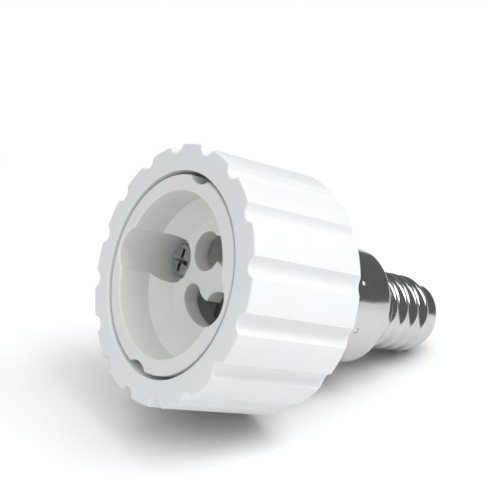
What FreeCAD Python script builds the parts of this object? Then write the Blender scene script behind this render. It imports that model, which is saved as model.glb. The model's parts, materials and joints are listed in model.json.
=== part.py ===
import FreeCAD, Part
import math
import os
import Sketcher

# A screw-cap adapter: its small threaded cap goes into a lampholder, and the
# cup in its fluted body takes a lamp with two pins that twist to lock.
# Every piece is drawn on one line, the adapter's own axis: Z runs from the
# rim of the body, at 0, towards the contact at the end of the cap.

doc = FreeCAD.newDocument("screw_adapter")
sheet = doc.addObject("Spreadsheet::Sheet", "sizes")

# two places closer than this are one place, when an edge is looked for
SAME_PLACE = 0.01

DRIVING = [
    # fluted body, with the neck that carries the cap
    ("body_front_radius", 19.1),
    ("body_back_radius", 19.45),
    ("body_length", 21.0),
    ("body_bore_radius", 15.2),
    ("back_wall", 2.4),
    ("front_edge_round", 0.35),
    ("back_edge_round", 1.6),
    ("flute_count", 16),
    ("flute_radius", 1.45),
    ("flute_depth", 1.15),
    ("neck_length", 17.6),
    ("neck_wall", 2.3),
    ("neck_end_wall", 2.0),
    ("spigot_length", 14.4),
    ("spigot_bore_radius", 3.4),
    # cup that takes the lamp
    ("rim_gap", 0.55),
    ("rim_setback", 0.2),
    ("cup_radius", 12.25),
    ("cup_wall_depth", 5.65),
    ("cup_floor_depth", 8.45),
    ("cup_floor_radius", 9.5),
    ("cup_floor_thickness", 2.65),
    ("rim_edge_round", 0.3),
    ("keyhole_edge_round", 0.2),
    ("notch_radius", 3.3),
    ("notch_bite", 0.92),
    ("notch_depth", 5.0),
    # keyholes for the two pins, and the chambers behind them
    ("pin_circle_radius", 5.0),
    ("entry_radius", 3.05),
    ("slot_width", 3.9),
    ("slot_sweep", 85.2),
    ("chamber_circle_radius", 5.25),
    ("chamber_width", 6.7),
    # screws that hold the cup
    ("screw_circle_radius", 10.1),
    ("screw_channel_radius", 3.75),
    ("seat_thickness", 3.2),
    ("screw_head_radius", 2.9),
    ("screw_head_height", 1.9),
    ("screw_head_round", 1.0),
    ("screw_radius", 1.45),
    ("pilot_floor", 1.1),
    ("screw_point", 1.5),
    ("screw_clearance", 0.15),
    ("recess_width", 0.85),
    ("recess_span", 3.6),
    ("recess_depth", 1.3),
    ("boss_radius", 2.9),
    ("boss_pocket_depth", 2.9),
    ("boss_clearance", 0.2),
    # insulating plate behind the cup
    ("plate_radius", 14.4),
    ("plate_thickness", 1.2),
    # spring contacts on the plate
    ("strip_thickness", 0.5),
    ("strip_inner", 3.4),
    ("strip_width", 3.0),
    ("strip_half_length", 4.6),
    ("strip_foot_end", 1.4),
    ("strip_crest_start", 1.6),
    ("strip_crest_end", 3.4),
    ("strip_crest_rise", 3.1),
    ("strip_tip_rise", 1.7),
    ("tail_width", 1.6),
    ("tail_length", 3.2),
    ("rivet_radius", 0.8),
    ("rivet_head_radius", 1.05),
    ("rivet_head_height", 0.4),
    ("rivet_offset", 3.0),
    # screw cap
    ("sheet_thickness", 0.32),
    ("skirt_radius", 10.0),
    ("skirt_start_gap", 0.25),
    ("skirt_edge_round", 0.9),
    ("window_count", 8),
    ("window_angle", 8.5),
    ("window_width", 0.8),
    ("window_length", 0.7),
    ("window_distance", 10.55),
    ("lug_clearance", 0.05),
    ("thread_crest_radius", 6.94),
    ("thread_root_radius", 6.05),
    ("thread_pitch", 2.822),
    ("thread_turns", 5.0),
    ("thread_lead", 1.75),
    ("thread_runout", 1.8),
    ("thread_valley", 0.1),
    ("cap_lip_radius", 4.4),
    ("cap_end_round", 0.42),
    # end of the cap
    ("glass_seat_radius", 5.2),
    ("glass_back", 1.6),
    ("glass_front_radius", 3.1),
    ("glass_front", 1.5),
    ("eyelet_radius", 2.5),
    ("eyelet_thickness", 0.6),
    ("eyelet_tube_radius", 1.1),
    ("eyelet_bore_radius", 0.6),
    ("tip_solder_radius", 1.7),
    ("tip_solder_height", 0.7),
    ("tip_solder_round", 0.6),
    # leads inside
    ("core_radius", 0.45),
    ("sleeve_radius", 0.9),
    ("core_start_gap", 0.6),
    ("sleeve_start", 2.6),
    ("sleeve_end_gap", 0.6),
    ("solder_radius", 1.0),
    ("solder_length", 1.2),
    ("solder_film", 0.1),
    ("side_hole_radius", 0.9),
    ("side_hole_distance", 6.4),
    ("lead_end_cover", 0.35),
    ("lead_bend", 4.0),
    ("lead_turn", 1.0),
    ("lead_drop", 4.9),
    ("live_bend_distance", 7.9),
    ("neutral_bend_distance", 0.9),
    ("neutral_offset", 2.2),
    ("neutral_bare_length", 3.0),
]

DERIVED = [
    ("wall_front_depth", "=body_length - back_wall"),
    ("block_back_depth", "=wall_front_depth - plate_thickness"),
    ("neck_radius", "=skirt_radius - sheet_thickness"),
    ("neck_end_depth", "=body_length + neck_length"),
    ("neck_bore_radius", "=neck_radius - neck_wall"),
    ("neck_bore_end", "=neck_end_depth - neck_end_wall"),
    ("neck_end_round", "=skirt_edge_round - sheet_thickness"),
    ("cap_bore_radius", "=thread_root_radius - sheet_thickness"),
    ("spigot_radius", "=cap_bore_radius - lug_clearance"),
    ("spigot_end_depth", "=neck_end_depth + spigot_length"),
    ("cup_outer_radius", "=body_bore_radius - rim_gap"),
    ("flute_centre_front", "=body_front_radius - flute_depth + flute_radius"),
    ("flute_centre_back", "=body_back_radius - flute_depth + flute_radius"),
    ("floor_back_depth", "=cup_floor_depth + cup_floor_thickness"),
    ("slot_inner_radius", "=pin_circle_radius - slot_width / 2"),
    ("slot_outer_radius", "=pin_circle_radius + slot_width / 2"),
    ("slot_end_radius", "=slot_width / 2"),
    ("half_slot_sweep", "=slot_sweep / 2"),
    ("chamber_inner_radius", "=chamber_circle_radius - chamber_width / 2"),
    ("chamber_outer_radius", "=chamber_circle_radius + chamber_width / 2"),
    ("chamber_end_radius", "=chamber_width / 2"),
    ("notch_centre_radius", "=cup_outer_radius - notch_bite + notch_radius"),
    ("boss_front_depth", "=block_back_depth - boss_pocket_depth"),
    ("screw_seat_depth", "=boss_front_depth - seat_thickness"),
    ("boss_pocket_radius", "=boss_radius + boss_clearance"),
    ("screw_end_depth", "=body_length - pilot_floor"),
    ("screw_hole_radius", "=screw_radius + screw_clearance"),
    ("half_recess_width", "=recess_width / 2"),
    ("half_recess_span", "=recess_span / 2"),
    ("strip_middle", "=strip_inner + strip_width / 2"),
    ("strip_face_depth", "=block_back_depth - strip_thickness"),
    ("strip_crest_depth", "=strip_face_depth - strip_crest_rise"),
    ("strip_tip_depth", "=strip_face_depth - strip_tip_rise"),
    ("tail_inner", "=strip_half_length - strip_thickness"),
    ("skirt_start_depth", "=body_length + skirt_start_gap"),
    ("skirt_end_depth", "=neck_end_depth + sheet_thickness"),
    ("window_depth", "=body_length + window_distance"),
    ("half_window_width", "=window_width / 2"),
    ("window_inner_radius", "=neck_radius - sheet_thickness"),
    ("window_outer_radius", "=skirt_radius + sheet_thickness"),
    ("half_lug_width", "=half_window_width - lug_clearance"),
    ("lug_length", "=window_length - 2 * lug_clearance"),
    ("lug_root_radius", "=neck_radius - neck_wall / 2"),
    ("lug_tip_radius", "=skirt_radius - lug_clearance"),
    ("thread_start_depth", "=skirt_end_depth + thread_lead"),
    ("thread_rise", "=thread_turns * thread_pitch"),
    ("thread_end_depth", "=thread_start_depth + thread_rise + thread_runout"),
    ("thread_height", "=thread_crest_radius - thread_root_radius"),
    ("thread_round", "=(thread_height ^ 2 + thread_pitch ^ 2 / 4) / (4 * thread_height)"),
    ("inner_crest_round", "=thread_round - sheet_thickness"),
    ("ridge_inner_radius", "=thread_root_radius - sheet_thickness / 2"),
    ("groove_inner_radius", "=cap_bore_radius - lug_clearance"),
    ("inner_root_round", "=thread_round + sheet_thickness"),
    ("crest_centre_radius", "=thread_crest_radius - thread_round"),
    ("ridge_half", "=thread_pitch / 2 - thread_valley / 2"),
    ("glass_back_depth", "=thread_end_depth - sheet_thickness - glass_back"),
    ("glass_shoulder_depth", "=thread_end_depth - sheet_thickness"),
    ("glass_front_depth", "=thread_end_depth + glass_front"),
    ("eyelet_front_depth", "=glass_front_depth + eyelet_thickness"),
    ("core_start_depth", "=wall_front_depth + core_start_gap"),
    ("core_offset", "=tail_inner - core_radius - solder_film"),
    ("core_middle", "=strip_inner + tail_width / 2"),
    ("lead_circle_radius", "=sqrt(core_middle ^ 2 + core_offset ^ 2)"),
    ("lead_angle", "=0 - atan2(core_offset; core_middle) / 1deg"),
    ("neutral_angle", "=lead_angle + 180"),
    ("inner_end_round", "=cap_end_round - sheet_thickness"),
    ("bend_start", "=wall_front_depth + lead_drop"),
    ("live_bend_end", "=neck_bore_end + live_bend_distance"),
    ("neutral_bend_end", "=neck_bore_end + neutral_bend_distance"),
    ("side_hole_depth", "=neck_end_depth + side_hole_distance"),
    ("side_hole_start", "=spigot_bore_radius / 2"),
    ("neutral_sleeve_end", "=side_hole_depth - neutral_bare_length"),
]


def fill_sheet():
    """Write each size in a row of its own, with its name as the cell's alias."""
    for row, (name, content) in enumerate(DRIVING + DERIVED, start=1):
        sheet.set("A%d" % row, name)
        sheet.set("B%d" % row, str(content))
        sheet.setAlias("B%d" % row, name)
    doc.recompute()


def size(terms):
    """Value of a sum of named sizes, such as 'body_length - back_wall'."""
    total = 0.0
    sign = 1
    for word in terms.split():
        if word in ("+", "-"):
            sign = 1 if word == "+" else -1
        elif word[0].isdigit():
            total += sign * float(word)
        else:
            total += sign * float(sheet.get(word))
    return total


def link(terms):
    """The same sum as an expression that follows the sheet."""
    return " ".join("sizes." + word if word[0].isalpha() else word for word in terms.split())


def bind(item, prop, terms):
    item.setExpression(prop, link(terms))


def origin_part(body, role):
    return next(item for item in body.Origin.OriginFeatures if item.Role == role)


def new_body(name):
    body = doc.addObject("PartDesign::Body", name)
    body.Label = name
    return body


def new_sketch(body, name, plane, shift, shift_terms, turn_axis, turn, turn_terms):
    sketch = body.newObject("Sketcher::SketchObject", name)
    sketch.AttachmentSupport = [(origin_part(body, plane), "")]
    sketch.MapMode = "FlatFace"
    turned = FreeCAD.Rotation(turn_axis, turn)
    sketch.AttachmentOffset = FreeCAD.Placement(shift, turned)
    if shift_terms:
        bind(sketch, shift_terms[0], shift_terms[1])
    if turn_terms:
        bind(sketch, "AttachmentOffset.Rotation.Angle", turn_terms)
    return sketch


def across(body, name, depth="0", turn=None):
    """Sketch across the axis at a depth, turned about the axis."""
    shift = FreeCAD.Vector(0, 0, size(depth))
    moved = ("AttachmentOffset.Base.z", depth) if depth != "0" else None
    axis = FreeCAD.Vector(0, 0, 1)
    return new_sketch(body, name, "XY_Plane", shift, moved, axis, size(turn) if turn else 0, turn)


def along(body, name, depth="0", turn=None):
    """Sketch through the axis: its x is the radius, its y the depth."""
    shift = FreeCAD.Vector(0, size(depth), 0)
    moved = ("AttachmentOffset.Base.y", depth) if depth != "0" else None
    axis = FreeCAD.Vector(0, 1, 0)
    return new_sketch(body, name, "XZ_Plane", shift, moved, axis, size(turn) if turn else 0, turn)


def beside(body, name, offset, turn=None):
    """Sketch at a distance from the axis, facing outwards: its y is the depth."""
    sketch = new_sketch(body, name, "YZ_Plane", FreeCAD.Vector(0, 0, 0), None,
                        FreeCAD.Vector(0, 1, 0), size(turn) if turn else 0, turn)
    angle = math.radians(size(turn)) if turn else 0.0
    reach = size(offset)
    base = FreeCAD.Vector(reach * math.sin(angle), 0, reach * math.cos(angle))
    sketch.AttachmentOffset = FreeCAD.Placement(base, sketch.AttachmentOffset.Rotation)
    if turn:
        away = "(" + link(offset) + ")"
        degrees = "(" + link(turn) + ") * 1deg"
        sketch.setExpression("AttachmentOffset.Base.x", away + " * sin(" + degrees + ")")
        sketch.setExpression("AttachmentOffset.Base.z", away + " * cos(" + degrees + ")")
    else:
        bind(sketch, "AttachmentOffset.Base.z", offset)
    return sketch


def tie(sketch, constraint, terms):
    """Add a driving constraint whose value follows the sheet."""
    index = sketch.addConstraint(constraint)
    sketch.setExpression("Constraints[%d]" % index, link(terms))


def fix_point(sketch, edge, end, x, y):
    """Hold one point of an edge at named distances from the sketch's origin."""
    for kind, terms, on_axis in (("DistanceX", x, -2), ("DistanceY", y, -1)):
        if terms == "0":
            sketch.addConstraint(Sketcher.Constraint("PointOnObject", edge, end, on_axis))
        elif terms is not None:
            tie(sketch, Sketcher.Constraint(kind, -1, 1, edge, end, size(terms)), terms)


def outline(sketch, corners):
    """Closed outline of straight edges through named corners."""
    places = [FreeCAD.Vector(size(x), size(y), 0) for x, y in corners]
    edges = []
    for start, end in zip(places, places[1:] + places[:1]):
        edges.append(sketch.addGeometry(Part.LineSegment(start, end), False))
    for this, following in zip(edges, edges[1:] + edges[:1]):
        sketch.addConstraint(Sketcher.Constraint("Coincident", this, 2, following, 1))
    for edge, (x, y) in zip(edges, corners):
        fix_point(sketch, edge, 1, x, y)


def ring(sketch, radius, x="0", y="0"):
    """Circle of a named radius at a named place."""
    centre = FreeCAD.Vector(size(x), size(y), 0)
    circle = Part.Circle(centre, FreeCAD.Vector(0, 0, 1), size(radius))
    edge = sketch.addGeometry(circle, False)
    fix_point(sketch, edge, 3, x, y)
    tie(sketch, Sketcher.Constraint("Radius", edge, size(radius)), radius)


def turned_solid(body, name, corners):
    """Solid turned about the axis from an outline of radius and depth."""
    sketch = along(body, name + "_outline")
    outline(sketch, corners)
    solid = body.newObject("PartDesign::Revolution", name)
    solid.Profile = sketch
    solid.ReferenceAxis = (sketch, ["V_Axis"])
    solid.Angle = 360
    doc.recompute()
    return solid


def pad(body, name, sketch, length):
    solid = body.newObject("PartDesign::Pad", name)
    solid.Profile = sketch
    bind(solid, "Length", length)
    doc.recompute()
    return solid


def pocket(body, name, sketch, length, reverse=True):
    """Pocket that runs from its sketch towards the cap, or back when not reversed."""
    hole = body.newObject("PartDesign::Pocket", name)
    hole.Profile = sketch
    bind(hole, "Length", length)
    hole.Reversed = reverse
    doc.recompute()
    return hole


def around(body, name, features, count):
    """Copies of the features, evenly spaced about the axis."""
    pattern = body.newObject("PartDesign::PolarPattern", name)
    pattern.Originals = features
    pattern.Axis = (origin_part(body, "Z_Axis"), [""])
    pattern.Angle = 360
    if count.isdigit():
        pattern.Occurrences = int(count)
    else:
        bind(pattern, "Occurrences", count)
    body.Tip = pattern
    doc.recompute()
    return pattern


def edges_where(shape, test):
    """Names of the edges whose ends and middle all pass a test of radius and depth."""
    names = []
    for number, edge in enumerate(shape.Edges, start=1):
        middle = (edge.FirstParameter + edge.LastParameter) / 2
        points = [edge.valueAt(t) for t in (edge.FirstParameter, middle, edge.LastParameter)]
        if all(test(math.hypot(p.x, p.y), p.z) for p in points):
            names.append("Edge%d" % number)
    return names


def near(value, target):
    return abs(value - target) < SAME_PLACE


def rounded(body, name, base, radius, test):
    feature = body.newObject("PartDesign::Fillet", name)
    feature.Base = (base, edges_where(base.Shape, test))
    bind(feature, "Radius", radius)
    doc.recompute()
    return feature


def corner_test(radius, depth):
    """Test for the turned edge at one radius and depth."""
    target_radius = size(radius)
    target_depth = size(depth)
    return lambda r, z: near(r, target_radius) and near(z, target_depth)


def arc_groove(body, name, inner, outer, front, back):
    """Arc-shaped cut about the axis, centred on the X direction."""
    section = along(body, name + "_section", "0", "0 - half_slot_sweep")
    outline(section, [(inner, front), (outer, front), (outer, back), (inner, back)])
    groove = body.newObject("PartDesign::Groove", name)
    groove.Profile = section
    groove.ReferenceAxis = (section, ["V_Axis"])
    bind(groove, "Angle", "slot_sweep")
    groove.Reversed = False
    doc.recompute()
    return groove


def make_outer_shell():
    """Moulded body: fluted skirt, back wall, screw bosses, neck and spigot in one."""
    body = new_body("outer_shell")
    blank = turned_solid(body, "shell_blank", [
        ("body_bore_radius", "0"),
        ("body_front_radius", "0"),
        ("body_back_radius", "body_length"),
        ("neck_radius", "body_length"),
        ("neck_radius", "neck_end_depth"),
        ("spigot_radius", "neck_end_depth"),
        ("spigot_radius", "spigot_end_depth"),
        ("spigot_bore_radius", "spigot_end_depth"),
        ("spigot_bore_radius", "neck_bore_end"),
        ("neck_bore_radius", "neck_bore_end"),
        ("neck_bore_radius", "wall_front_depth"),
        ("body_bore_radius", "wall_front_depth"),
    ])
    back = rounded(body, "back_edge", blank, "back_edge_round",
                   corner_test("body_back_radius", "body_length"))
    neck = rounded(body, "neck_edge", back, "neck_end_round",
                   corner_test("neck_radius", "neck_end_depth"))
    rounded(body, "front_edge", neck, "front_edge_round", corner_test("body_front_radius", "0"))

    line = along(body, "flute_line")
    start = FreeCAD.Vector(size("flute_centre_front"), 0, 0)
    end = FreeCAD.Vector(size("flute_centre_back"), size("body_length"), 0)
    edge = line.addGeometry(Part.LineSegment(start, end), False)
    fix_point(line, edge, 1, "flute_centre_front", "0")
    fix_point(line, edge, 2, "flute_centre_back", "body_length")
    section = across(body, "flute_section")
    ring(section, "flute_radius", "flute_centre_front")
    flute = body.newObject("PartDesign::SubtractivePipe", "flute")
    flute.Profile = section
    flute.Spine = (line, ["Edge1"])
    doc.recompute()
    around(body, "flutes", [flute], "flute_count")

    boss_section = across(body, "boss_section", "boss_front_depth")
    ring(boss_section, "boss_radius", "0", "screw_circle_radius")
    boss = pad(body, "boss", boss_section, "wall_front_depth - boss_front_depth")
    pilot_section = across(body, "pilot_section", "boss_front_depth")
    ring(pilot_section, "screw_radius", "0", "screw_circle_radius")
    pilot = pocket(body, "pilot", pilot_section, "screw_end_depth - boss_front_depth")
    around(body, "bosses", [boss, pilot], "2")

    lug_section = across(body, "lug_section", "window_depth + lug_clearance", "window_angle")
    outline(lug_section, [
        ("lug_root_radius", "half_lug_width"),
        ("lug_tip_radius", "half_lug_width"),
        ("lug_tip_radius", "0 - half_lug_width"),
        ("lug_root_radius", "0 - half_lug_width"),
    ])
    lug = pad(body, "lug", lug_section, "lug_length")
    around(body, "lugs", [lug], "window_count")

    hole_section = beside(body, "side_hole_section", "side_hole_start", "neutral_angle")
    ring(hole_section, "side_hole_radius", "0", "side_hole_depth")
    pocket(body, "side_hole", hole_section, "spigot_radius")
    return body


def make_holder_insert():
    """Moulded cup with its thick floor, keyholes, screw channels and contact chambers."""
    body = new_body("holder_insert")
    blank = turned_solid(body, "cup_blank", [
        ("0", "cup_floor_depth"),
        ("cup_floor_radius", "cup_floor_depth"),
        ("cup_radius", "cup_wall_depth"),
        ("cup_radius", "rim_setback"),
        ("cup_outer_radius", "rim_setback"),
        ("cup_outer_radius", "block_back_depth"),
        ("0", "block_back_depth"),
    ])
    notch_section = across(body, "notch_section", "rim_setback")
    ring(notch_section, "notch_radius", "notch_centre_radius")
    notch = pocket(body, "notch", notch_section, "notch_depth")
    around(body, "notches", [notch], "2")

    channel_section = across(body, "channel_section", "rim_setback")
    ring(channel_section, "screw_channel_radius", "0", "screw_circle_radius")
    channel = pocket(body, "channel", channel_section, "screw_seat_depth - rim_setback")
    hole_section = across(body, "screw_hole_section", "screw_seat_depth")
    ring(hole_section, "screw_hole_radius", "0", "screw_circle_radius")
    hole = pocket(body, "screw_hole", hole_section, "block_back_depth - screw_seat_depth")
    boss_section = across(body, "boss_pocket_section", "boss_front_depth")
    ring(boss_section, "boss_pocket_radius", "0", "screw_circle_radius")
    boss_pocket = pocket(body, "boss_pocket", boss_section, "block_back_depth - boss_front_depth")
    around(body, "screw_places", [channel, hole, boss_pocket], "2")

    entry_section = across(body, "entry_section", "cup_floor_depth", "0 - half_slot_sweep")
    ring(entry_section, "entry_radius", "pin_circle_radius")
    entry = pocket(body, "entry", entry_section, "cup_floor_thickness")
    end_section = across(body, "slot_end_section", "cup_floor_depth", "half_slot_sweep")
    ring(end_section, "slot_end_radius", "pin_circle_radius")
    slot_end = pocket(body, "slot_end", end_section, "cup_floor_thickness")
    slot = arc_groove(body, "slot", "slot_inner_radius", "slot_outer_radius",
                      "cup_floor_depth", "floor_back_depth")
    around(body, "keyholes", [entry, slot_end, slot], "2")

    chamber_cuts = []
    for name, turn in (("chamber_start", "0 - half_slot_sweep"), ("chamber_end", "half_slot_sweep")):
        chamber_section = across(body, name + "_section", "floor_back_depth", turn)
        ring(chamber_section, "chamber_end_radius", "chamber_circle_radius")
        length = "block_back_depth - floor_back_depth"
        chamber_cuts.append(pocket(body, name, chamber_section, length))
    chamber_cuts.append(arc_groove(body, "chamber", "chamber_inner_radius",
                                   "chamber_outer_radius", "floor_back_depth", "block_back_depth"))
    chambers = around(body, "chambers", chamber_cuts, "2")

    front = size("rim_setback")
    inside = size("cup_radius") - SAME_PLACE
    rim = rounded(body, "rim_edges", chambers, "rim_edge_round",
                  lambda r, z: near(z, front) and r > inside)
    floor = size("cup_floor_depth")
    edge = size("cup_floor_radius") - SAME_PLACE
    rounded(body, "keyhole_edges", rim, "keyhole_edge_round",
            lambda r, z: near(z, floor) and r < edge)
    return body


def make_contact_plate():
    """Stamped insulating plate that closes the contact chambers."""
    body = new_body("contact_plate")
    disc = across(body, "disc_section", "block_back_depth")
    ring(disc, "plate_radius")
    pad(body, "disc", disc, "plate_thickness")
    boss_section = across(body, "boss_hole_section", "block_back_depth")
    ring(boss_section, "boss_pocket_radius", "0", "screw_circle_radius")
    boss_hole = pocket(body, "boss_hole", boss_section, "plate_thickness")
    rivet_section = across(body, "rivet_hole_section", "block_back_depth")
    ring(rivet_section, "rivet_radius", "strip_middle", "0 - rivet_offset")
    rivet_hole = pocket(body, "rivet_hole", rivet_section, "plate_thickness")
    tail_section = across(body, "tail_slot_section", "block_back_depth")
    outline(tail_section, [
        ("strip_inner", "0 - strip_half_length"),
        ("strip_inner + tail_width", "0 - strip_half_length"),
        ("strip_inner + tail_width", "0 - tail_inner"),
        ("strip_inner", "0 - tail_inner"),
    ])
    tail_slot = pocket(body, "tail_slot", tail_section, "plate_thickness")
    around(body, "plate_holes", [boss_hole, rivet_hole, tail_slot], "2")
    return body


def make_contact(name):
    """Spring strip: a riveted foot, a raised tongue for the pin and a solder tail."""
    body = new_body(name)
    side = beside(body, "strip_side", "strip_inner")
    outline(side, [
        ("0 - strip_half_length", "block_back_depth"),
        ("0 - strip_half_length", "strip_face_depth"),
        ("0 - strip_foot_end", "strip_face_depth"),
        ("strip_crest_start", "strip_crest_depth"),
        ("strip_crest_end", "strip_crest_depth"),
        ("strip_half_length", "strip_tip_depth"),
        ("strip_half_length", "strip_tip_depth + strip_thickness"),
        ("strip_crest_end", "strip_crest_depth + strip_thickness"),
        ("strip_crest_start", "strip_crest_depth + strip_thickness"),
        ("0 - strip_foot_end", "block_back_depth"),
    ])
    pad(body, "strip", side, "strip_width")
    hole_section = across(body, "rivet_hole_section", "strip_face_depth")
    ring(hole_section, "rivet_radius", "strip_middle", "0 - rivet_offset")
    pocket(body, "rivet_hole", hole_section, "strip_thickness")
    tail_section = across(body, "tail_section", "strip_face_depth")
    outline(tail_section, [
        ("strip_inner", "0 - strip_half_length"),
        ("strip_inner + tail_width", "0 - strip_half_length"),
        ("strip_inner + tail_width", "0 - tail_inner"),
        ("strip_inner", "0 - tail_inner"),
    ])
    pad(body, "tail", tail_section, "strip_thickness + tail_length")
    return body


def make_pair(name, piece, x, y):
    """Two like pieces in one node, one each side of the axis."""
    half_turn = FreeCAD.Rotation(FreeCAD.Vector(0, 0, 1), 180)
    place = FreeCAD.Placement(FreeCAD.Vector(size(x), size(y), 0), FreeCAD.Rotation())
    pieces = []
    for number, turn in enumerate((FreeCAD.Rotation(), half_turn), start=1):
        body = piece("%s_%d" % (name, number))
        body.Placement = FreeCAD.Placement(FreeCAD.Vector(0, 0, 0), turn).multiply(place)
        pieces.append(body)
    pair = doc.addObject("Part::Compound", name)
    pair.Label = name
    pair.Links = pieces
    doc.recompute()
    return pair


def make_screw(name):
    """Cross-head screw with a domed head, standing at the axis."""
    body = new_body(name)
    blank = turned_solid(body, "screw_blank", [
        ("0", "screw_seat_depth - screw_head_height"),
        ("screw_head_radius", "screw_seat_depth - screw_head_height"),
        ("screw_head_radius", "screw_seat_depth"),
        ("screw_radius", "screw_seat_depth"),
        ("screw_radius", "screw_end_depth - screw_point"),
        ("0", "screw_end_depth"),
    ])
    rounded(body, "head_round", blank, "screw_head_round",
            corner_test("screw_head_radius", "screw_seat_depth - screw_head_height"))
    cross = across(body, "recess_section", "screw_seat_depth - screw_head_height")
    outline(cross, [
        ("half_recess_width", "half_recess_width"),
        ("half_recess_width", "half_recess_span"),
        ("0 - half_recess_width", "half_recess_span"),
        ("0 - half_recess_width", "half_recess_width"),
        ("0 - half_recess_span", "half_recess_width"),
        ("0 - half_recess_span", "0 - half_recess_width"),
        ("0 - half_recess_width", "0 - half_recess_width"),
        ("0 - half_recess_width", "0 - half_recess_span"),
        ("half_recess_width", "0 - half_recess_span"),
        ("half_recess_width", "0 - half_recess_width"),
        ("half_recess_span", "0 - half_recess_width"),
        ("half_recess_span", "half_recess_width"),
    ])
    pocket(body, "recess", cross, "recess_depth")
    return body


def make_rivet(name):
    """Rivet through the contact's foot and the plate, headed at both ends."""
    body = new_body(name)
    turned_solid(body, "rivet_blank", [
        ("0", "strip_face_depth - rivet_head_height"),
        ("rivet_head_radius", "strip_face_depth - rivet_head_height"),
        ("rivet_head_radius", "strip_face_depth"),
        ("rivet_radius", "strip_face_depth"),
        ("rivet_radius", "wall_front_depth"),
        ("rivet_head_radius", "wall_front_depth"),
        ("rivet_head_radius", "wall_front_depth + rivet_head_height"),
        ("0", "wall_front_depth + rivet_head_height"),
    ])
    return body


def make_tail_solder(name):
    """Bead of solder that joins a lead's bare end to the contact's tail."""
    body = new_body(name)
    bead = across(body, "bead_section", "core_start_depth")
    ring(bead, "solder_radius")
    pad(body, "bead", bead, "solder_length")
    core = across(body, "core_section", "core_start_depth")
    ring(core, "core_radius")
    pocket(body, "core_hole", core, "solder_length")
    tail_side = across(body, "tail_side_section", "core_start_depth")
    outline(tail_side, [
        ("0 - solder_radius", "0 - core_radius - solder_film"),
        ("solder_radius", "0 - core_radius - solder_film"),
        ("solder_radius", "0 - solder_radius"),
        ("0 - solder_radius", "0 - solder_radius"),
    ])
    pocket(body, "tail_side", tail_side, "solder_length")
    return body


def wave(sketch, crest_round, root_round, inner):
    """One pitch of the rounded thread: a crest arc between two half root arcs."""
    up = FreeCAD.Vector(0, 0, 1)
    centre = FreeCAD.Vector(size("crest_centre_radius"), 0, 0)
    root_x = size("thread_root_radius + thread_round")
    root_y = size("thread_pitch") / 2
    lean = math.atan2(root_y, root_x - centre.x)
    crest_value = size(crest_round)
    root_value = size(root_round)
    half = size("ridge_half")
    reach = math.asin((root_y - half) / root_value)
    meet = FreeCAD.Vector(centre.x + crest_value * math.cos(lean), crest_value * math.sin(lean), 0)
    foot = FreeCAD.Vector(root_x - root_value * math.cos(reach), half, 0)
    inside = size(inner)

    crest = sketch.addGeometry(
        Part.ArcOfCircle(Part.Circle(centre, up, crest_value), -lean, lean), False)
    upper_circle = Part.Circle(FreeCAD.Vector(root_x, root_y, 0), up, root_value)
    upper = sketch.addGeometry(
        Part.ArcOfCircle(upper_circle, math.pi + reach, math.pi + lean), False)
    lower_circle = Part.Circle(FreeCAD.Vector(root_x, -root_y, 0), up, root_value)
    lower = sketch.addGeometry(
        Part.ArcOfCircle(lower_circle, math.pi - lean, math.pi - reach), False)
    corners = [foot, FreeCAD.Vector(inside, half, 0), FreeCAD.Vector(inside, -half, 0),
               FreeCAD.Vector(foot.x, -half, 0)]
    top = sketch.addGeometry(Part.LineSegment(corners[0], corners[1]), False)
    side = sketch.addGeometry(Part.LineSegment(corners[1], corners[2]), False)
    bottom = sketch.addGeometry(Part.LineSegment(corners[2], corners[3]), False)

    fix_point(sketch, crest, 3, "crest_centre_radius", "0")
    tie(sketch, Sketcher.Constraint("Radius", crest, crest_value), crest_round)
    for root in (upper, lower):
        fix_point(sketch, root, 3, "thread_root_radius + thread_round", None)
        tie(sketch, Sketcher.Constraint("Radius", root, root_value), root_round)
    sketch.addConstraint(Sketcher.Constraint("Tangent", crest, 2, upper, 2))
    sketch.addConstraint(Sketcher.Constraint("Tangent", lower, 1, crest, 1))
    sketch.addConstraint(Sketcher.Constraint("Coincident", upper, 1, top, 1))
    sketch.addConstraint(Sketcher.Constraint("Coincident", top, 2, side, 1))
    sketch.addConstraint(Sketcher.Constraint("Coincident", side, 2, bottom, 1))
    sketch.addConstraint(Sketcher.Constraint("Coincident", bottom, 2, lower, 2))
    sketch.addConstraint(Sketcher.Constraint("Horizontal", top))
    sketch.addConstraint(Sketcher.Constraint("Horizontal", bottom))
    fix_point(sketch, side, 1, inner, "ridge_half")
    fix_point(sketch, side, 2, inner, "0 - ridge_half")


def helix(body, name, kind, sketch):
    thread = body.newObject(kind, name)
    thread.Profile = sketch
    thread.ReferenceAxis = (sketch, ["V_Axis"])
    thread.Mode = "pitch-turns-angle"
    bind(thread, "Pitch", "thread_pitch")
    bind(thread, "Turns", "thread_turns")
    doc.recompute()
    return thread


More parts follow.
